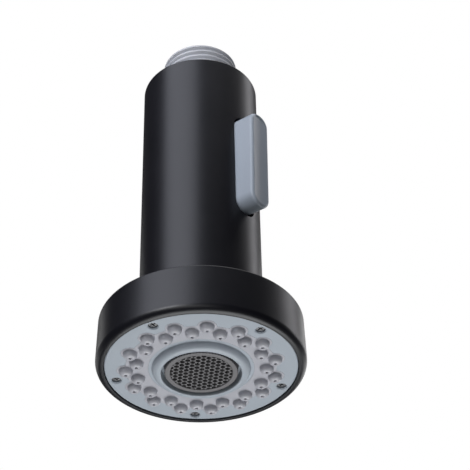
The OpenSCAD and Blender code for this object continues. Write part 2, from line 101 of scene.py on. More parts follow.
def shade(colour: Colour, factor: float) -> Colour:
    """Scales a linear colour and leaves its alpha.

    Args:
        colour: The colour to scale.
        factor: One leaves it as it is, less is darker.

    Returns:
        The scaled colour.
    """
    return (colour[0] * factor, colour[1] * factor, colour[2] * factor, colour[3])


class Graph:
    """The node tree of one material."""

    def __init__(self, name: str) -> None:
        """Starts an empty tree.

        Args:
            name: Name of the material.
        """
        self.material = bpy.data.materials.new(name)
        self.material.use_nodes = True
        self.tree = self.material.node_tree
        self.tree.nodes.clear()

    def node(self, kind: str, settings: dict | None = None, inputs: dict | None = None,
             output: int = 0) -> "Socket":
        """Adds one node.

        Args:
            kind: Blender's type name of the node.
            settings: Properties of the node, set before its sockets.
            inputs: Values or sockets for the node's inputs, by name or index.
            output: Index of the output wanted.

        Returns:
            That output, wrapped.
        """
        made = self.tree.nodes.new(kind)
        for key, value in (settings or {}).items():
            setattr(made, key, value)
        for key, value in (inputs or {}).items():
            if isinstance(value, Socket):
                self.tree.links.new(value.output, made.inputs[key])
            else:
                made.inputs[key].default_value = value
        return Socket(self, made.outputs[output] if made.outputs else None)

    def place(self) -> "Socket":
        """Returns the object coordinates, which are metres in the model's own frame."""
        return self.node("ShaderNodeTexCoord", output=3)

    def noise(self, size: float, detail: float = 2.0, stretch: Sequence[float] = (1, 1, 1)) -> "Socket":
        """Adds soft noise.

        Args:
            size: Size of its features in millimetres.
            detail: How many finer layers it has.
            stretch: Frequency along each axis against the size given.

        Returns:
            Noise around one half.
        """
        spot = self.node("ShaderNodeMapping", None, {"Vector": self.place(), "Scale": tuple(stretch)})
        return self.node("ShaderNodeTexNoise", None,
                         {"Vector": spot, "Scale": 1 / (size * MM), "Detail": detail, "Roughness": 0.55})

    def blend(self, share: "Socket", first: Colour, second: Colour) -> "Socket":
        """Mixes two colours.

        Args:
            share: How much of the second colour shows.
            first: The colour at a share of nought.
            second: The colour at a share of one.

        Returns:
            The mixed colour.
        """
        return self.node("ShaderNodeMix", {"data_type": "RGBA"}, {0: share, 6: first, 7: second}, output=2)

    def bump(self, height: "Socket", depth: float) -> "Socket":
        """Turns a height into a normal.

        Args:
            height: The relief, from nought to one.
            depth: Its depth in millimetres.

        Returns:
            The bent normal.
        """
        return self.node("ShaderNodeBump", None,
                         {"Height": height, "Distance": depth * MM, "Strength": 1.0})

    def surface(self, **inputs: object) -> bpy.types.Material:
        """Ends the tree in a Principled shader.

        Args:
            **inputs: Its inputs, with underscores for the spaces in their names.

        Returns:
            The finished material.
        """
        named = {key.replace("_", " "): value for key, value in inputs.items()}
        shader = self.node("ShaderNodeBsdfPrincipled", None, named)
        self.node("ShaderNodeOutputMaterial", None, {"Surface": shader})
        return self.material


class Socket:
    """An output of a node, which takes part in Python expressions as a number."""

    def __init__(self, graph: Graph, output: bpy.types.NodeSocket | None) -> None:
        """Wraps an output.

        Args:
            graph: The tree that it belongs to.
            output: Blender's socket.
        """
        self.graph = graph
        self.output = output

    def _math(self, operation: str, first: object, second: object) -> "Socket":
        """Adds a Math node of two values."""
        return self.graph.node("ShaderNodeMath", {"operation": operation}, {0: first, 1: second})

    def __add__(self, other: object) -> "Socket":
        """Adds."""
        return self._math("ADD", self, other)

    def __radd__(self, other: object) -> "Socket":
        """Adds from the left."""
        return self._math("ADD", other, self)

    def __sub__(self, other: object) -> "Socket":
        """Subtracts."""
        return self._math("SUBTRACT", self, other)

    def __mul__(self, other: object) -> "Socket":
        """Multiplies."""
        return self._math("MULTIPLY", self, other)

    def __rmul__(self, other: object) -> "Socket":
        """Multiplies from the left."""
        return self._math("MULTIPLY", other, self)

    def __pow__(self, other: object) -> "Socket":
        """Raises to a power."""
        return self._math("POWER", self, other)


# ---------------------------------------------------------------- finishes


@dataclass(frozen=True)
class SatinCoat:
    """Satin black coating with a faint orange peel and slightly uneven gloss."""

    name: str
    colour: Colour
    roughness: float = 0.4
    peel: float = 0.7
    peel_depth: float = 0.0016
    grit: float = 0.09
    grit_depth: float = 0.0012

    def make(self) -> bpy.types.Material:
        """Returns the finish as a material."""
        graph = Graph(self.name)
        cloud = graph.noise(9.0, 3)
        peel = graph.noise(self.peel, 2)
        grit = graph.noise(self.grit, 2)
        depth = self.peel_depth + self.grit_depth
        relief = peel * (self.peel_depth / depth) + grit * (self.grit_depth / depth)
        dark, light = shade(self.colour, 0.85), shade(self.colour, 1.15)
        return graph.surface(
            Base_Color=graph.blend(0.7 * cloud + 0.3 * grit, dark, light),
            Roughness=self.roughness - 0.05 + 0.08 * cloud + 0.04 * grit,
            Normal=graph.bump(relief, depth))


@dataclass(frozen=True)
class Moulded:
    """Injection-moulded plastic with the fine grain of its mould and faint flow marks."""

    name: str
    colour: Colour
    roughness: float = 0.45
    grain: float = 0.16
    grain_depth: float = 0.003
    flow: float = 7.0
    contrast: float = 0.06
    translucency: float = 0.0

    def make(self) -> bpy.types.Material:
        """Returns the finish as a material."""
        graph = Graph(self.name)
        flow = graph.noise(self.flow, 3, (1, 1, 0.45))
        grain = graph.noise(self.grain, 3)
        speck = graph.noise(self.grain * 3.5, 1)
        dark, light = shade(self.colour, 1 - self.contrast), shade(self.colour, 1 + self.contrast)
        return graph.surface(
            Base_Color=graph.blend(0.6 * flow + 0.4 * speck, dark, light),
            Roughness=self.roughness - 0.06 + 0.07 * flow + 0.05 * grain,
            Subsurface_Weight=self.translucency,
            Subsurface_Radius=(1.0, 0.9, 0.85),
            Subsurface_Scale=0.6 * MM,
            Normal=graph.bump(grain, self.grain_depth))


@dataclass(frozen=True)
class Rubber:
    """Soft rubber with a powdery bloom over a matt skin."""

    name: str
    colour: Colour
    bloom: Colour
    roughness: float = 0.62

    def make(self) -> bpy.types.Material:
        """Returns the finish as a material."""
        graph = Graph(self.name)
        patch = graph.noise(2.2, 4)
        pore = graph.noise(0.14, 2)
        return graph.surface(
            Base_Color=graph.blend(patch ** 2.0, self.colour, self.bloom),
            Roughness=self.roughness + 0.14 * (patch - 0.5) + 0.06 * pore,
            Normal=graph.bump(pore, 0.004))


@dataclass(frozen=True)
class Steel:
    """Bright stainless steel with drawn marks along its length."""

    name: str
    colour: Colour = tint(196, 197, 199)
    roughness: float = 0.27

    def make(self) -> bpy.types.Material:
        """Returns the finish as a material."""
        graph = Graph(self.name)
        drawn = graph.noise(0.35, 3, (1, 1, 0.12))
        stain = graph.noise(3.0, 2)
        return graph.surface(
            Base_Color=graph.blend(stain, shade(self.colour, 0.82), self.colour),
            Metallic=1.0,
            Roughness=self.roughness + 0.12 * drawn - 0.04 * stain,
            Normal=graph.bump(drawn, 0.002))


BLACK_COAT = SatinCoat("satin_black_coat", tint(12, 12, 19), roughness=0.36)
BLACK_NYLON = Moulded("black_nylon", tint(38, 38, 41), roughness=0.5)
BUTTON_GREY = Moulded("button_grey", tint(152, 160, 170), roughness=0.36, grain_depth=0.0016)
INLET_GREY = Moulded("inlet_grey", tint(178, 180, 186), roughness=0.42, translucency=0.3)
FACE_GREY = Moulded("face_grey", tint(170, 178, 187), roughness=0.38, grain_depth=0.0018)
NOZZLE_SILICONE = Moulded("nozzle_silicone", tint(181, 181, 188), roughness=0.38, grain=0.1,
                          contrast=0.03, translucency=0.2)
AERATOR_GREY = Moulded("aerator_grey", tint(112, 110, 112), roughness=0.5)
STRAINER_GREY = Moulded("strainer_grey", tint(122, 130, 142), roughness=0.4)
INNER_WHITE = Moulded("inner_white", tint(222, 221, 214), roughness=0.48, translucency=0.05)
INNER_GREY = Moulded("inner_grey", tint(160, 164, 170), roughness=0.48)
BLACK_RUBBER = Rubber("black_rubber", tint(24, 24, 26), tint(62, 62, 64))
STAINLESS = Steel("stainless_steel")
DARK_STEEL = Steel("dark_steel", tint(118, 118, 120), roughness=0.4)


# ---------------------------------------------------------------- outlines and solids


def box_of(node: str) -> tuple[Vector, Vector]:
    """Returns the lowest and the highest corner of a CAD node in millimetres."""
    low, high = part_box(node)
    return low / MM, high / MM


def from_cad(node: str, corner: int, axis: str) -> float:
    """Makes a dataclass field that is read from a CAD node's box.

    Args:
        node: The node.
        corner: LOW or HIGH, the corner to read.
        axis: The coordinate to read.

    Returns:
        The field, in millimetres.
    """
    return field(default_factory=lambda: getattr(box_of(node)[corner], axis))


def in_scene(name: str, data: bpy.types.ID) -> bpy.types.Object:
    """Makes an object of a mesh, light or camera and puts it in the scene."""
    made = bpy.data.objects.new(name, data)
    bpy.context.scene.collection.objects.link(made)
    return made


def arc(centre: Sequence[float], radius: float, start: float, end: float, steps: int = 8) -> list[Vector]:
    """Points along an arc.

    Args:
        centre: Its middle.
        radius: Its radius.
        start: Angle of its first point in degrees.
        end: Angle of its last point in degrees.
        steps: Number of stretches.

    Returns:
        The points in order.
    """
    angles = [math.radians(start + (end - start) * i / steps) for i in range(steps + 1)]
    return [Vector((centre[0] + radius * math.cos(a), centre[1] + radius * math.sin(a))) for a in angles]


def rounded(corners: Sequence[Corner], steps: int = 6) -> list[Vector]:
    """Rounds the corners of a closed outline.

    Args:
        corners: Each corner's two coordinates and its radius, nought for a sharp one.
        steps: Number of stretches in each rounding.

    Returns:
        The outline's points in the same order.
    """
    points = []
    for i, (x, y, radius) in enumerate(corners):
        here = Vector((x, y))
        if radius <= 0:
            points.append(here)
            continue
        back = (Vector(corners[i - 1][:2]) - here).normalized()
        ahead = (Vector(corners[(i + 1) % len(corners)][:2]) - here).normalized()
        half = back.angle(ahead) / 2
        centre = here + (back + ahead).normalized() * radius / math.sin(half)
        first = here + back * radius / math.tan(half) - centre
        last = here + ahead * radius / math.tan(half) - centre
        start = math.degrees(math.atan2(first.y, first.x))
        turn = (math.degrees(math.atan2(last.y, last.x)) - start + 180) % 360 - 180
        points += arc(centre, radius, start, start + turn, steps)
    return points


def rounded_rectangle(width: float, height: float, radius: float, steps: int = 14) -> list[Vector]:
    """Outline of a rectangle with round corners, centred on the origin.

    Args:
        width: Its width.
        height: Its height.
        radius: Radius of its corners.
        steps: Number of stretches in each corner.

    Returns:
        The outline's points, anticlockwise.
    """
    w, h = width / 2, height / 2
    return rounded([(w, h, radius), (-w, h, radius), (-w, -h, radius), (w, -h, radius)], steps)


def wire_loop(outline: Outline, upright: bool) -> Solid:
    """Draws an outline as a closed loop of edges.

    Args:
        outline: The points.
        upright: True draws it in the XZ plane, False in the XY plane.

    Returns:
        A mesh of edges alone.
    """
    solid = bmesh.new()
    spots = [(p[0], 0, p[1]) if upright else (p[0], p[1], 0) for p in outline]
    corners = [solid.verts.new(spot) for spot in spots]
    for i, corner in enumerate(corners):
        solid.edges.new((corners[i - 1], corner))
    return solid


def outward(solid: Solid) -> Solid:
    """Closes a mesh's seams and turns its faces outwards."""
    bmesh.ops.remove_doubles(solid, verts=solid.verts, dist=1e-5)
    bmesh.ops.recalc_face_normals(solid, faces=solid.faces)
    return solid


def lathe(outline: Outline, steps: int = 96) -> Solid:
    """Turns an outline around the Z axis.

    Args:
        outline: Radius and height of each point of a closed outline.
        steps: Number of stretches around.

    Returns:
        The turned solid.
    """
    solid = wire_loop(outline, upright=True)
    bmesh.ops.spin(solid, geom=solid.verts[:] + solid.edges[:], cent=(0, 0, 0), axis=(0, 0, 1),
                   dvec=(0, 0, 0), angle=TURN, steps=steps, use_merge=True, use_duplicate=False)
    flat = [face for face in solid.faces if face.calc_area() < 1e-9]
    bmesh.ops.delete(solid, geom=flat, context="FACES_ONLY")
    return outward(solid)


def helix(outline: Outline, pitch: float, turns: float, steps: int = 72) -> Solid:
    """Sweeps a closed outline along a right-hand helix around the Z axis.

    Args:
        outline: Radius and height of each point at the start.
        pitch: Rise in one turn.
        turns: Number of turns.
        steps: Number of stretches in each turn.

    Returns:
        The ridge, closed at both ends.
    """
    solid = wire_loop(outline, upright=True)
    bmesh.ops.spin(solid, geom=solid.verts[:] + solid.edges[:], cent=(0, 0, 0), axis=(0, 0, 1),
                   dvec=(0, 0, pitch / steps), angle=TURN * turns, steps=round(turns * steps),
                   use_merge=False, use_duplicate=False)
    open_edges = [edge for edge in solid.edges if edge.is_boundary]
    bmesh.ops.holes_fill(solid, edges=open_edges, sides=0)
    return outward(solid)


def prism(outline: Outline, low: float, high: float) -> Solid:
    """Raises an outline from one height to another.

    Args:
        outline: Points in the XY plane.
        low: Height of the lower face.
        high: Height of the upper face.

    Returns:
        The solid.
    """
    solid = wire_loop(outline, upright=False)
    base = bmesh.ops.contextual_create(solid, geom=solid.edges[:])["faces"]
    raised = bmesh.ops.extrude_face_region(solid, geom=base)["geom"]
    top = [item for item in raised if isinstance(item, bmesh.types.BMVert)]
    bmesh.ops.translate(solid, verts=solid.verts, vec=(0, 0, low))
    bmesh.ops.translate(solid, verts=top, vec=(0, 0, high - low))
    return outward(solid)


def rod(radius: float, low: float, high: float, steps: int = 32) -> Solid:
    """Makes a round bar along the Z axis.

    Args:
        radius: Its radius.
        low: Height of its lower end.
        high: Height of its upper end.
        steps: Number of stretches around.

    Returns:
        The bar.
    """
    solid = bmesh.new()
    bmesh.ops.create_cone(solid, cap_ends=True, segments=steps, radius1=radius, radius2=radius,
                          depth=high - low, matrix=Matrix.Translation((0, 0, (low + high) / 2)))
    return solid


def block(low: Sequence[float], high: Sequence[float]) -> Solid:
    """Makes a box between two corners.

    Args:
        low: Its lowest corner.
        high: Its highest corner.

    Returns:
        The box.
    """
    size = Vector(high) - Vector(low)
    middle = (Vector(high) + Vector(low)) / 2
    solid = bmesh.new()
    bmesh.ops.create_cube(solid, size=1, matrix=Matrix.Translation(middle) @ Matrix.Diagonal((*size, 1)))
    return solid


def moved(solid: Solid, matrix: Matrix) -> Solid:
    """Applies a matrix to a solid and returns it."""
    bmesh.ops.transform(solid, matrix=matrix, verts=solid.verts)
    return solid


def shifted(solid: Solid, x: float, y: float, z: float) -> Solid:
    """Moves a solid and returns it."""
    return moved(solid, Matrix.Translation((x, y, z)))


def turned(solid: Solid, degrees: float) -> Solid:
    """Turns a solid around the Z axis and returns it."""
    return moved(solid, Matrix.Rotation(math.radians(degrees), 4, "Z"))


def facing_front(solid: Solid) -> Solid:
    """Lays a solid drawn along +Z along -Y, with its Y along Z."""
    return moved(solid, Matrix.Rotation(math.radians(90), 4, "X"))


def across(solid: Solid) -> Solid:
    """Lays a solid drawn along +Z along +X."""
    return moved(solid, Matrix.Rotation(math.radians(90), 4, "Y"))


def together(*solids: Solid) -> Solid:
    """Puts several solids into one mesh without joining their surfaces."""
    whole = bmesh.new()
    for solid in solids:
        scratch = bpy.data.meshes.new("scratch")
        solid.to_mesh(scratch)
        whole.from_mesh(scratch)
        solid.free()
        bpy.data.meshes.remove(scratch)
    return whole


def around(solid: Solid, count: int, radius: float = 0.0, start: float = 0.0) -> Solid:
    """Repeats a solid around the Z axis.

    Args:
        solid: The solid to repeat, which is used up.
        count: Number of copies.
        radius: How far each is moved out from the axis.
        start: Angle of the first in degrees.

    Returns:
        All the copies in one mesh.
    """
    copies = []
    for i in range(count):
        turn = Matrix.Rotation(math.radians(start) + TURN * i / count, 4, "Z")
        copies.append(moved(solid.copy(), turn @ Matrix.Translation((radius, 0, 0))))
    solid.free()
    return together(*copies)


def boolean(target: Solid, tool: Solid, operation: Operation) -> Solid:
    """Cuts, joins or intersects two solids.

    Args:
        target: The solid to change, which is used up.
        tool: The other solid, which is used up.
        operation: What to do.

    Returns:
        The new solid.
    """
    objects = []
    for solid in (target, tool):
        mesh = bpy.data.meshes.new("scratch")
        solid.to_mesh(mesh)
        solid.free()
        objects.append(in_scene("scratch", mesh))
    modifier = objects[0].modifiers.new("boolean", "BOOLEAN")
    modifier.operation = operation.value
    modifier.solver = "EXACT"
    modifier.object = objects[1]
    result = bmesh.new()
    result.from_object(objects[0], bpy.context.evaluated_depsgraph_get())
    for made in objects:
        bpy.data.meshes.remove(made.data)
    bmesh.ops.dissolve_degenerate(result, dist=1e-4, edges=result.edges)
    return result


def joined(first: Solid, *others: Solid) -> Solid:
    """Joins solids into one, in order."""
    for other in others:
        first = boolean(first, other, Operation.JOIN)
    return first


def cut(first: Solid, *others: Solid) -> Solid:
    """Cuts solids out of the first one, in order."""
    for other in others:
        first = boolean(first, other, Operation.CUT)
    return first


def hand_over(solid: Solid, name: str, finish: object, body: Body, nodes: Sequence[str],
              soft_edge: float = 0.0, crease: float = 32.0) -> bpy.types.Object:
    """Makes a solid a piece of the model.

    Args:
        solid: The mesh in millimetres, which is used up.
        name: The piece's name.
        finish: Its finish.
        body: The CAD body that it rides on.
        nodes: The CAD nodes that it stands for.
        soft_edge: Width of the rounding of its sharp edges, nought for none.
        crease: Angle in degrees above which an edge counts as sharp.

    Returns:
        The piece.
    """
    bmesh.ops.scale(solid, vec=(MM, MM, MM), verts=solid.verts)
    mesh = bpy.data.meshes.new(name)
    solid.to_mesh(mesh)
    solid.free()
    mesh.materials.append(finish.make())
    mesh.shade_smooth()
    mesh.set_sharp_from_angle(angle=math.radians(crease))
    piece = in_scene(name, mesh)
    if soft_edge > 0:
        bevel = piece.modifiers.new("soft_edges", "BEVEL")
        bevel.width = soft_edge * MM
        bevel.segments = 3
        bevel.limit_method = "ANGLE"
        bevel.angle_limit = math.radians(crease)
        bevel.use_clamp_overlap = True
        bevel.harden_normals = False
    even = piece.modifiers.new("even_shading", "WEIGHTED_NORMAL")
    even.keep_sharp = True
    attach(piece, body.value)
    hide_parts(*nodes)
    LOG.info("%s: %d faces, stands for %s", name, len(mesh.polygons), ", ".join(nodes))
    return piece


# ---------------------------------------------------------------- sub-assemblies


@dataclass
class Button:
    """Grey rocker in the side of the handle."""

    width: float = 6.9
    corner: float = 3.3
    inner_y: float = -13.0
    pivot_y: float = -11.6
    reach_top: float = 21.8
    reach_bottom: float = 21.25
    edge: float = 0.9
    droop: float = 0.12
    level_y: float = -15.0
    contact_gap: float = 0.05
    boss_radius: float = 1.6
    boss_half: float = 2.9
    bore_radius: float = 0.8
    foot_radius: float = 1.2
    foot_half: float = 1.3
    overlap: float = 0.5
    lever: float = 11.0
    dish_inset: float = 0.7
    dish_depth: float = 0.26
    low: float = from_cad("rocker_button", LOW, "z")
    high: float = from_cad("rocker_button", HIGH, "z")

    @property
    def middle(self) -> float:
        """Height of the pivot."""
        return (self.low + self.high) / 2

    @property
    def length(self) -> float:
        """Height of the whole button."""
        return self.high - self.low

    @property
    def reach(self) -> float:
        """How far the middle of the outer face stands from the handle's axis."""
        return (self.reach_top + self.reach_bottom) / 2

    @property
    def lean(self) -> float:
        """Angle of the outer face against upright, in radians."""
        return math.atan((self.reach_top - self.reach_bottom) / self.length)

    def cap(self) -> Solid:
        """Returns the visible bar: level ends, a leaning outer face and a rounding around it."""
        outline = rounded_rectangle(self.width, self.length, self.corner)
        solid = facing_front(prism(outline, -self.inner_y, self.reach))
        bmesh.ops.translate(solid, verts=solid.verts, vec=(0, 0, self.middle))
        outer = {v for v in solid.verts if v.co.y < self.inner_y - 1}
        bmesh.ops.rotate(solid, verts=list(outer), cent=(0, -self.reach, self.middle),
                         matrix=Matrix.Rotation(self.lean, 3, "X"))
        rim = [e for e in solid.edges if outer.issuperset(e.verts)]
        bmesh.ops.bevel(solid, geom=rim, offset=self.edge, segments=6, affect="EDGES", profile=0.5,
                        material=-1)
        return solid

    def dish(self) -> Solid:
        """Returns the cutter of the shallow dish in the outer face, part of a wide cylinder along Z."""
        half_width = self.width / 2 - self.dish_inset
        radius = (half_width ** 2 + self.dish_depth ** 2) / (2 * self.dish_depth)
        bar = shifted(rod(radius, -self.length, self.length, 512), 0, -radius + self.dish_depth, 0)
        outline = rounded_rectangle(2 * half_width, self.length - 2 * self.dish_inset,
                                    self.corner - self.dish_inset)
        cutter = boolean(bar, facing_front(prism(outline, -3, 3)), Operation.KEEP)
        place = Matrix.Translation((0, -self.reach, self.middle))
        return moved(cutter, place @ Matrix.Rotation(self.lean, 4, "X"))

    def drooped(self, solid: Solid) -> Solid:
        """Shears the cap so that its two ends slope down towards the outside."""
        shear = Matrix.Identity(4)
        shear[2][1] = self.droop
        shear[2][3] = -self.droop * self.level_y
        return moved(solid, shear)

    def foot(self, tip: float, height: float) -> Solid:
        """Makes one of the feet that push the plungers.

        Args:
            tip: Where its round end stops along Y.
            height: Height of its middle.

        Returns:
            The foot, reaching back into the cap.
        """
        centre = tip - self.foot_radius
        round_end = shifted(across(rod(self.foot_radius, -self.foot_half, self.foot_half, 40)),
                            0, centre, height)
        stalk = block((-self.foot_half, self.inner_y - self.overlap, height - self.foot_radius),
                      (self.foot_half, centre, height + self.foot_radius))
        return joined(round_end, stalk)

    def build(self) -> bpy.types.Object:
        """Builds the button and returns it."""
        boss = shifted(across(rod(self.boss_radius, -self.boss_half, self.boss_half, 48)),
                       0, self.pivot_y, self.middle)
        root = block((-self.boss_half, self.inner_y - self.overlap, self.middle - self.boss_radius),
                     (self.boss_half, self.pivot_y, self.middle + self.boss_radius))
        whole = joined(self.drooped(cut(self.cap(), self.dish())), joined(boss, root))
        for plunger, side in (("upper_plunger", 1), ("lower_plunger", -1)):
            tip = box_of(plunger)[LOW].y - self.contact_gap
            whole = joined(whole, self.foot(tip, self.middle + side * self.lever))
        bore = shifted(across(rod(self.bore_radius, -5, 5)), 0, self.pivot_y, self.middle)
        return hand_over(cut(whole, bore), "side_button", BUTTON_GREY, Body.ROCKER,
                         ["rocker_button"])


@dataclass
class Shell:
    """Satin black handle and head in one piece."""

    button: Button
    lip: float = from_cad("outer_shell", LOW, "z")
    top: float = from_cad("outer_shell", HIGH, "z")
    head_radius: float = from_cad("outer_shell", HIGH, "x")
    handle_radius: float = 16.0
    bore_radius: float = 14.0
    bell_radius: float = 24.3
    lean: float = 0.36
    head_top: float = 14.5
    lower_round: float = 1.8
    upper_round: float = 0.5
    shoulder: float = 17.7
    shoulder_round: float = 3.0
    inlet_radius: float = 10.8
    dock_lip: float = 2.2
    ceiling: float = 12.4
    bell_rise: float = 2.0
    side_gap: float = 0.3
    top_gap: float = 0.7
    bottom_gap: float = 1.0

    def outline(self) -> list[Vector]:
        """Returns the section from the lip up the outside and back down the inside."""
        return rounded([
            (self.bell_radius, self.lip, 0.1),
            (self.head_radius, self.lip, self.lower_round),
            (self.head_radius - self.lean, self.head_top, self.upper_round),
            (self.handle_radius, self.shoulder, self.shoulder_round),
            (self.handle_radius, self.top, 0.45),
            (self.inlet_radius, self.top, 0.25),
            (self.inlet_radius, self.top - self.dock_lip, 0),
            (self.bore_radius, self.top - self.dock_lip, 0),
            (self.bore_radius, self.ceiling + 2 * self.bell_rise, 0),
            (self.bore_radius + self.bell_rise, self.ceiling + self.bell_rise, 0),
            (self.bell_radius, self.ceiling, 0),
        ], 10)

    def window(self) -> Solid:
        """Returns the cutter of the button's window."""
        width = self.button.width + 2 * self.side_gap
        height = self.button.length + self.top_gap + self.bottom_gap
        outline = rounded_rectangle(width, height, self.button.corner + self.side_gap)
        cutter = facing_front(prism(outline, self.bore_radius - 2, self.handle_radius + 2))
        drop = (self.bottom_gap - self.top_gap) / 2
        return shifted(cutter, 0, 0, self.button.middle - drop)

    def build(self) -> bpy.types.Object:
        """Builds the shell and returns it."""
        solid = cut(lathe(self.outline(), 256), self.window())
        return hand_over(solid, "black_shell", BLACK_COAT, Body.HEAD, ["outer_shell"],
                         soft_edge=0.22)


@dataclass
class Inlet:
    """Inlet with its flange and spigot, and a true helical thread.

    At crest_angle degrees around from +X the last crest lies crest_drop below the inlet's top.
    """

    top: float = from_cad("inlet_nipple", HIGH, "z")
    bottom: float = from_cad("inlet_nipple", LOW, "z")
    thread_radius: float = 10.4775
    root_radius: float = 9.3155
    pitch: float = 1.814
    turns: int = 9
    crest_angle: float = 220.0
    crest_drop: float = 0.3
    flange_radius: float = 13.7
    flange_low: float = 89.6
    flange_high: float = 92.1
    spigot_radius: float = 9.4
    bore_radius: float = 7.7
    shelf: float = 88.8
    valve_radius: float = 6.2
    grooves: tuple[float, float] = (80.4, 84.6)
    groove_half: float = 0.8
    groove_radius: float = 8.2
    screw_radius: float = 0.9
    screw_head: float = 1.6
    screw_sunk: float = 1.2
    screw_ring: float = 11.7
    screw_count: int = 3
    screw_angle: float = 30.0

    def body(self) -> Solid:
        """Returns the inlet without its thread."""
        return lathe(rounded([
            (self.valve_radius, self.bottom, 0.2),
            (self.spigot_radius, self.bottom, 0.4),
            (self.spigot_radius, self.flange_low, 0),
            (self.flange_radius, self.flange_low, 0.2),
            (self.flange_radius, self.flange_high, 0.2),
            (self.root_radius, self.flange_high, 0.2),
            (self.root_radius, self.top, 0.25),
            (self.bore_radius, self.top, 0.35),
            (self.bore_radius, self.shelf, 0),
            (self.valve_radius, self.shelf, 0.2),
        ]), 160)

    def ridge(self) -> Solid:
        """Returns the thread's ridge with its round crests, before it is trimmed."""
        start = self.top - self.crest_drop - self.pitch * (self.turns - 1 + self.crest_angle / 360)
        half_base, half_crest, crest_round, sunk = 0.86, 0.3, 0.28, 0.3
        section = rounded([
            (self.root_radius - sunk, start - half_base, 0),
            (self.root_radius, start - half_base, 0),
            (self.thread_radius, start - half_crest, crest_round),
            (self.thread_radius, start + half_crest, crest_round),
            (self.root_radius, start + half_base, 0),
            (self.root_radius - sunk, start + half_base, 0),
        ], 4)
        return helix(section, self.pitch, self.turns)

    def envelope(self) -> Solid:
        """Returns the room that the thread is trimmed to, with a small lead-in at its end."""
        lead, clear = 0.25, 0.1
        inner, outer = self.root_radius - 1, self.thread_radius + 1
        low, shoulder, high = self.flange_high + 0.3, self.top - 0.2, self.top - 0.01
        rim = self.thread_radius + clear
        return lathe([(inner, low), (outer, low), (outer, shoulder), (rim, shoulder),
                      (rim - lead, high), (inner, high)])

    def build(self) -> bpy.types.Object:
        """Builds the inlet and returns it."""
        thread = boolean(self.ridge(), self.envelope(), Operation.KEEP)
        inner, outer = self.groove_radius, self.spigot_radius + 1.6
        grooves = []
        for z in self.grooves:
            low, high = z - self.groove_half, z + self.groove_half
            grooves.append(lathe([(inner, low), (outer, low), (outer, high), (inner, high)]))
        above = self.flange_high + 1
        screw = together(rod(self.screw_radius, self.flange_low - 1, above, 24),
                         rod(self.screw_head, self.flange_high - self.screw_sunk, above))
        screws = around(screw, self.screw_count, self.screw_ring, self.screw_angle)
        solid = cut(joined(self.body(), thread), together(*grooves), screws)
        return hand_over(solid, "threaded_inlet", INLET_GREY, Body.HEAD, ["inlet_nipple"])


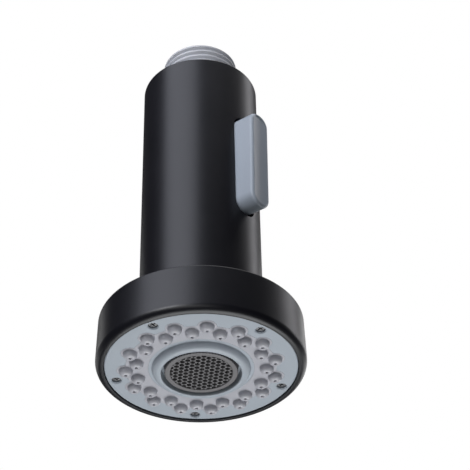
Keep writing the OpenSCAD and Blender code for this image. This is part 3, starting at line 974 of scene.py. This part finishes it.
@dataclass
class SprayFace:
    """Pale face plate with its raised collar, the soft mat with its nozzles, and their shared pattern."""

    radius: float = from_cad("face_plate", HIGH, "x")
    face: float = 1.70
    plate: float = 2.1
    nozzle_count: int = 30
    rings: tuple[float, float] = (16.3, 18.8)
    first_angle: float = 46.3
    screw_count: int = 5
    screw_ring: float = 22.0
    screw_hole: float = 1.2
    screw_bevel: float = 0.25
    screw_sunk: float = 1.4
    screw_bore: float = 0.9
    collar_radius: float = 12.3
    collar_bore: float = 10.05
    collar_round: float = 1.6
    collar_step: float = 2.6
    hub_radius: float = 11.4
    hub_ceiling: float = 8.6
    hub_top: float = 9.8
    thread_bore: float = 9.35
    duct_radius: float = 4.65
    spout_wall: float = 0.85
    spout_radius: float = 6.4
    spout_rise: float = 1.2
    mat_inner: float = 13.2
    mat_outer: float = 18.9
    lobe: float = 2.4
    recess: float = 0.8
    stem: float = 1.1
    dome_bed: float = 1.3

    @property
    def plate_top(self) -> float:
        """Height of the plate's upper side."""
        return self.face + self.plate

    def on_outer_ring(self, solid: Solid) -> Solid:
        """Repeats a solid at every nozzle of the outer ring, midway between those of the inner one."""
        half = self.nozzle_count // 2
        return around(solid, half, self.rings[1], self.first_angle + 180 / half)

    def on_rings(self, solid: Solid) -> Solid:
        """Repeats a solid at every nozzle and returns all the copies."""
        inner = around(solid.copy(), self.nozzle_count // 2, self.rings[0], self.first_angle)
        return together(inner, self.on_outer_ring(solid))

    def mat_body(self, low: float, high: float, gap: float = 0.0) -> Solid:
        """Makes the mat's outline as a slab.

        Args:
            low: Height of its lower face.
            high: Height of its upper face.
            gap: How far its edge stays inside the recess.

        Returns:
            The slab: a ring with a lobe around each outer nozzle.
        """
        lobes = self.on_outer_ring(rod(self.lobe - gap, low, high, 48))
        slab = joined(rod(self.mat_outer - gap, low, high, 180), lobes)
        return cut(slab, rod(self.mat_inner + gap, low - 1, high + 1, 160))

    def face_plate(self) -> bpy.types.Object:
        """Builds the face plate and returns it."""
        spout_bore, spout_top = self.duct_radius + self.spout_wall, self.hub_top + self.spout_rise
        solid = lathe(rounded([
            (self.collar_bore, 0, 0.3),
            (self.collar_radius, 0, self.collar_round),
            (self.collar_radius, self.face, 0.25),
            (self.radius, self.face, 0.35),
            (self.radius, self.plate_top, 0.1),
            (self.hub_radius, self.plate_top, 0.3),
            (self.hub_radius, self.hub_top, 0.3),
            (self.spout_radius, self.hub_top, 0.2),
            (self.spout_radius, spout_top, 0.2),
            (spout_bore, spout_top, 0),
            (spout_bore, self.hub_top - 0.1, 0),
            (self.duct_radius, self.hub_top - 0.1, 0),
            (self.duct_radius, self.hub_ceiling, 0),
            (self.thread_bore, self.hub_ceiling, 0),
            (self.thread_bore, self.collar_step, 0.15),
            (self.collar_bore, self.collar_step, 0),
        ], 8), 192)
        rim, seat, above = self.screw_hole + self.screw_bevel, self.face + self.screw_sunk, 9
        hole = lathe([(0, -1), (rim, self.face - 0.6), (rim, self.face),
                      (self.screw_hole, self.face + self.screw_bevel), (self.screw_hole, seat),
                      (self.screw_bore, seat), (self.screw_bore, above), (0, above)], 32)
        holes = around(hole, self.screw_count, self.screw_ring, self.first_angle)
        recess = self.mat_body(self.face - 1, self.face + self.recess)
        solid = cut(solid, recess, self.on_rings(rod(self.stem, self.face, above, 24)), holes)
        return hand_over(solid, "spray_face_plate", FACE_GREY, Body.HEAD, ["face_plate"])

    def nozzle(self) -> Solid:
        """Returns one nozzle: a soft dome with its jet, and the stem that plugs into the plate."""
        tip = box_of("nozzle_mat")[LOW].z + 0.02
        crown, base, straight = 0.5, 1.72, self.face - 0.45
        jet, well, foot, stem = 0.28, 0.6, base + 0.2, self.stem - 0.05
        dome = [(crown + (base - crown) * math.cos(a), straight - (straight - tip) * math.sin(a), 0)
                for a in map(math.radians, range(84, -1, -7))]
        return lathe(rounded([
            (jet, tip + 0.25, 0),
            (jet + 0.14, tip + 0.01, 0.1),
            *dome,
            (base + 0.02, self.face - 0.08, 0.05),
            (foot, self.face, 0.1),
            (foot, self.face + 0.4, 0),
            (stem, self.face + 0.4, 0),
            (stem, self.plate_top, 0.1),
            (well, self.plate_top, 0),
            (well, self.face, 0),
            (jet, self.face - 0.6, 0),
        ], 5), 48)

    def mat(self) -> bpy.types.Object:
        """Builds the mat with its nozzles and returns it."""
        slab = self.mat_body(self.face - 0.01, self.face + self.recess - 0.05, gap=0.045)
        slab = cut(slab, self.on_rings(rod(self.dome_bed, -1, 9, 40)))
        solid = joined(slab, self.on_rings(self.nozzle()))
        return hand_over(solid, "nozzle_mat_soft", NOZZLE_SILICONE, Body.HEAD,
                         ["nozzle_mat"], crease=38)


@dataclass
class Aerator:
    """Threaded cage of the aerator with its notched face, and the outlet screen inside its lip."""

    top: float = from_cad("aerator_housing", HIGH, "z")
    face: float = from_cad("aerator_housing", LOW, "z")
    radius: float = 9.2
    thread_radius: float = 9.25
    root_radius: float = 8.75
    thread_low: float = 2.8
    thread_rings: int = 5
    skirt_top: float = 2.3
    bore: float = 7.95
    lip_bore: float = 7.85
    screen: float = 0.6
    notches: int = 72
    notch_depth: float = 0.22
    notch_half: float = 0.14
    notch_height: float = 1.5
    cell: float = 1.47
    cell_wall: float = 0.27
    screen_turn: float = -12.8

    def cage(self) -> bpy.types.Object:
        """Builds the cage and returns it."""
        ridges = []
        for i in range(self.thread_rings):
            low = self.thread_low + i
            ridges += [(self.root_radius, low, 0), (self.thread_radius, low + 0.35, 0.05),
                       (self.thread_radius, low + 0.45, 0.05), (self.root_radius, low + 0.8, 0)]
        solid = lathe(rounded([
            (self.lip_bore, self.face, 0.1),
            (self.radius, self.face, 0.3),
            (self.radius, self.skirt_top, 0.1),
            *ridges,
            (self.root_radius, self.top, 0.1),
            (self.bore, self.top, 0.1),
            (self.bore, self.screen, 0),
            (self.lip_bore, self.screen, 0),
        ], 4), 144)
        notch = block((-self.notch_depth, -self.notch_half, -self.notch_height),
                      (self.notch_depth, self.notch_half, self.notch_height))
        solid = cut(solid, around(notch, self.notches, self.radius))
        return hand_over(solid, "aerator_cage", AERATOR_GREY, Body.HEAD,
                         ["aerator_housing"], soft_edge=0.04)

    def grille(self) -> bpy.types.Object:
        """Builds the outlet screen of six-sided cells and returns it."""
        lowest, highest = box_of("aerator_screen")
        low, high, reach = lowest.z, highest.z, highest.x
        cell_radius = (self.cell - self.cell_wall) / math.sqrt(3)
        cutters = []
        rows = math.ceil(reach / self.cell) + 2
        for row in range(-rows, rows + 1):
            y = row * self.cell * math.sqrt(3) / 2
            for column in range(-rows, rows + 1):
                x = (column + (row % 2) / 2) * self.cell
                if math.hypot(x, y) < self.lip_bore + cell_radius:
                    hexagon = turned(rod(cell_radius, low - 1, high + 1, 6), 30)
                    cutters.append(shifted(hexagon, x, y, 0))
        limit = rod(self.lip_bore - 0.05, low - 2, high + 2, 96)
        cells = boolean(together(*cutters), limit, Operation.KEEP)
        solid = turned(cut(rod(reach, low, high, 128), cells), self.screen_turn)
        return hand_over(solid, "outlet_screen", AERATOR_GREY, Body.HEAD,
                         ["aerator_screen"])


@dataclass
class Strainer:
    """Lift-out strainer: two rims, a wall between them and a drilled half disc at each end."""

    bottom: float = from_cad("strainer_cartridge", LOW, "z")
    top: float = from_cad("strainer_cartridge", HIGH, "z")
    radius: float = 7.5
    rim: float = 0.7
    rim_height: float = 1.1
    plate: float = 0.7
    plate_rise: float = 0.2
    wall: float = 1.0
    hole: float = 0.28
    hole_pitch: float = 1.25
    row_share: float = 0.87
    first_row: float = 0.2
    clear_middle: float = 2.2
    boss: float = 1.5
    cheek_inset: float = 1.1
    cheek_half: float = 0.6
    cheek_depth: float = 0.95
    turn: float = 35.0

    def ring(self, low: float) -> Solid:
        """Returns a rim standing at a height."""
        high = low + self.rim_height
        return lathe(rounded([
            (self.radius - self.rim, low, 0.2), (self.radius, low, 0.2),
            (self.radius, high, 0.2), (self.radius - self.rim, high, 0.2)], 4), 120)

    def screen(self, low: float, side: int) -> Solid:
        """Makes a drilled half disc.

        Args:
            low: Height of its lower face.
            side: 1 for the half at +Y, -1 for the half at -Y.

        Returns:
            The half disc.
        """
        disc = prism(arc((0, 0), self.radius - self.rim / 2, 0, 180, 48), low, low + self.plate)
        drills = []
        for row in range(1, 6):
            y = row * self.hole_pitch * self.row_share + self.first_row
            for column in range(-6, 7):
                x = (column + (row % 2) / 2) * self.hole_pitch
                if self.clear_middle < math.hypot(x, y) < self.radius - self.rim - self.hole:
                    drills.append(shifted(rod(self.hole, low - 1, low + 2, 16), x, y, 0))
        disc = cut(disc, together(*drills))
        return disc if side > 0 else turned(disc, 180)

    def build(self) -> bpy.types.Object:
        """Builds the strainer and returns it."""
        upper = self.top - self.rim_height
        solid = joined(self.ring(self.bottom), self.screen(self.bottom + self.plate_rise, -1),
                       joined(self.ring(upper), self.screen(upper + self.plate_rise, 1)))
        reach = self.radius - 0.5
        wall = block((-reach, -self.wall / 2, self.bottom + 0.1), (reach, self.wall / 2, self.top - 0.3))
        cheeks = []
        for side in (-1, 1):
            x = side * (self.radius - self.cheek_inset)
            cheeks.append(block((x - self.cheek_half, -self.cheek_depth, self.bottom + 0.3),
                                (x + self.cheek_half, self.cheek_depth, self.top - 0.3)))
        low, high = upper - 0.4, self.top - 0.2
        outline = [(0, low, 0), (self.boss, low, 0), (self.boss, high, 0.2), (0, high, 0)]
        boss = lathe(rounded(outline, 4), 48)
        solid = turned(joined(solid, wall, *cheeks, boss), self.turn)
        return hand_over(solid, "inlet_strainer", STRAINER_GREY, Body.STRAINER,
                         ["strainer_cartridge"], soft_edge=0.07)


@dataclass
class Internals:
    """The pieces that keep their CAD mesh, and the finish of each."""

    finishes: tuple[tuple[object, tuple[str, ...]], ...] = (
        (BLACK_RUBBER, ("inlet_o_rings", "check_valve_seal", "plunger_o_rings", "upper_plunger_seal",
                        "lower_plunger_seal", "manifold_o_ring", "face_o_ring", "stream_o_ring",
                        "aerator_seal")),
        (STAINLESS, ("inlet_screws", "check_valve_spring", "cradle_screws", "rocker_pin")),
        (DARK_STEEL, ("face_screws",)),
        (INNER_WHITE, ("check_valve_body", "check_valve_retainer", "valve_core", "spray_manifold",
                       "aerator_insert")),
        (INNER_GREY, ("check_valve_poppet", "plunger_bushes", "upper_plunger", "lower_plunger")),
        (BLACK_NYLON, ("rocker_cradle",)),
        (AERATOR_GREY, ("aerator_filter",)),
    )

    def dress(self) -> None:
        """Gives each CAD node its finish, one material for each finish."""
        for finish, nodes in self.finishes:
            material = finish.make()
            for node in nodes:
                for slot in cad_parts[node].material_slots:
                    slot.material = material
            LOG.info("%s: CAD meshes of %s", finish.name, ", ".join(nodes))


# ---------------------------------------------------------------- studio


def direction(azimuth: float, elevation: float) -> Vector:
    """Unit vector from the model towards a viewer.

    Args:
        azimuth: Degrees around from the front, which is -Y, towards +X.
        elevation: Degrees above the horizon.

    Returns:
        The vector.
    """
    a, e = math.radians(azimuth), math.radians(elevation)
    return Vector((math.sin(a) * math.cos(e), -math.cos(a) * math.cos(e), math.sin(e)))


def hang(light: bpy.types.Light, target: Vector, back: Vector, distance: float) -> bpy.types.Object:
    """Puts a light in the scene.

    Args:
        light: The light.
        target: The point that it faces.
        back: Unit vector from that point towards the light.
        distance: How far from the point it is, in metres.

    Returns:
        The lamp.
    """
    lamp = in_scene(light.name, light)
    lamp.location = target + back * distance
    lamp.rotation_euler = back.to_track_quat("Z", "Y").to_euler()
    return lamp


@dataclass(frozen=True)
class SoftBox:
    """A rectangular light that faces the model."""

    name: str
    azimuth: float
    elevation: float
    distance: float
    width: float
    height: float
    power: float
    colour: tuple[float, float, float] = (1.0, 1.0, 1.0)

    def light(self, target: Vector) -> None:
        """Hangs the light so that it faces a point."""
        data = bpy.data.lights.new(self.name, "AREA")
        data.shape = "RECTANGLE"
        data.size = self.width
        data.size_y = self.height
        data.energy = self.power
        data.color = self.colour
        lamp = hang(data, target, direction(self.azimuth, self.elevation), self.distance)
        lamp.visible_camera = False


@dataclass
class Studio:
    """Camera, lights, pale floor and white surroundings."""

    azimuth: float = -49.8
    elevation: float = -38.14
    distance: float = 0.3925
    roll: float = -1.27
    lens: float = 112.55
    aim: Vector = field(default_factory=lambda: Vector((0.0061, -0.0068, 0.0441)))
    ambient: float = 0.035
    floor_half: float = 1.2
    spot_power: float = 6.0
    spot_cone: float = 7.0
    spot_rise: float = 0.01
    spot_distance: float = 0.6
    spot_turn: float = -12.0
    spot_elevation: float = -28.0

    def camera(self) -> None:
        """Sets up the camera below the spray face."""
        data = bpy.data.cameras.new("camera")
        data.lens = self.lens
        data.sensor_width = 36
        data.clip_start = 0.01
        data.clip_end = 20
        camera = in_scene("camera", data)
        back = direction(self.azimuth, self.elevation)
        upright = back.to_track_quat("Z", "Y").to_matrix()
        camera.matrix_world = Matrix.Translation(self.aim + back * self.distance) @ \
            (Matrix.Rotation(math.radians(self.roll), 3, back) @ upright).to_4x4()
        bpy.context.scene.camera = camera

    def lights(self) -> None:
        """Hangs the lights around the camera's line of sight."""
        boxes = [
            SoftBox("under_light", self.azimuth + 170, -68, 0.9, 0.8, 0.8, 7.5, (0.97, 0.99, 1.0)),
            SoftBox("left_box", self.azimuth - 38, 34, 0.9, 0.8, 1.0, 6.0, (0.86, 0.89, 1.0)),
            SoftBox("front_low", self.azimuth - 10, -20, 1.0, 0.6, 0.5, 1.1),
            SoftBox("front_level", self.azimuth - 32, 5, 1.1, 0.5, 0.4, 4.5, (0.97, 0.98, 1.0)),
            SoftBox("right_rim", self.azimuth + 119, 36, 0.9, 0.2, 0.9, 1.7, (0.97, 0.96, 1.0)),
            SoftBox("back_right", self.azimuth + 150, 8, 1.0, 0.35, 1.0, 2.0),
            SoftBox("back_left", self.azimuth - 138, 8, 1.0, 0.25, 1.0, 0.9),
            SoftBox("top_fill", self.azimuth + 60, 78, 1.1, 0.8, 0.8, 3.0),
        ]
        for box in boxes:
            box.light(self.aim)
        self.thread_spot()

    def thread_spot(self) -> None:
        """Aims a small soft spot at the thread, whose underside the handle shades from the rest."""
        data = bpy.data.lights.new("thread_spot", "SPOT")
        data.energy = self.spot_power
        data.spot_size = math.radians(self.spot_cone)
        data.spot_blend = 0.8
        data.shadow_soft_size = 0.03
        low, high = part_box("inlet_nipple")
        thread = (low + high) / 2 + Vector((0, 0, self.spot_rise))
        back = direction(self.azimuth + self.spot_turn, self.spot_elevation)
        hang(data, thread, back, self.spot_distance)

    def floor(self) -> None:
        """Lays the floor, which shows from above and lets the view from below through."""
        solid = bmesh.new()
        bmesh.ops.create_grid(solid, x_segments=1, y_segments=1, size=self.floor_half)
        mesh = bpy.data.meshes.new("floor")
        solid.to_mesh(mesh)
        solid.free()
        graph = Graph("pale_floor")
        pale = graph.node("ShaderNodeBsdfDiffuse", None, {"Color": tint(238, 238, 238)})
        clear = graph.node("ShaderNodeBsdfTransparent")
        behind = graph.node("ShaderNodeNewGeometry", output=6)
        both = graph.node("ShaderNodeMixShader", None, {0: behind, 1: pale, 2: clear})
        graph.node("ShaderNodeOutputMaterial", None, {"Surface": both})
        mesh.materials.append(graph.material)
        floor = in_scene("floor", mesh)
        for ray in ("shadow", "diffuse", "glossy", "transmission"):
            setattr(floor, f"visible_{ray}", False)

    def surroundings(self) -> None:
        """Sets the white background and the weaker light that it gives."""
        world = bpy.data.worlds.new("studio")
        bpy.context.scene.world = world
        world.use_nodes = True
        tree = world.node_tree
        tree.nodes.clear()
        seen = tree.nodes.new("ShaderNodeLightPath").outputs["Is Camera Ray"]
        white = tree.nodes.new("ShaderNodeBackground")
        white.inputs["Color"].default_value = (1, 1, 1, 1)
        dim = tree.nodes.new("ShaderNodeBackground")
        dim.inputs["Color"].default_value = (0.96, 0.98, 1, 1)
        dim.inputs["Strength"].default_value = self.ambient
        mix = tree.nodes.new("ShaderNodeMixShader")
        output = tree.nodes.new("ShaderNodeOutputWorld")
        tree.links.new(seen, mix.inputs[0])
        tree.links.new(dim.outputs[0], mix.inputs[1])
        tree.links.new(white.outputs[0], mix.inputs[2])
        tree.links.new(mix.outputs[0], output.inputs["Surface"])
        bpy.context.scene.view_settings.view_transform = "Standard"

    def build(self) -> None:
        """Sets up the whole studio."""
        self.camera()
        self.lights()
        self.floor()
        self.surroundings()


def main() -> None:
    """Builds the studio and every piece, and logs how many new pieces there are."""
    logging.basicConfig(level=logging.INFO, format="%(name)s: %(message)s")
    Studio().build()
    button = Button()
    pieces = [Shell(button).build(), button.build(), Inlet().build()]
    spray_face = SprayFace()
    aerator = Aerator()
    pieces += [spray_face.face_plate(), spray_face.mat()]
    pieces += [aerator.cage(), aerator.grille(), Strainer().build()]
    Internals().dress()
    LOG.info("%d new pieces", len(pieces))


if __name__ == "__main__":
    main()
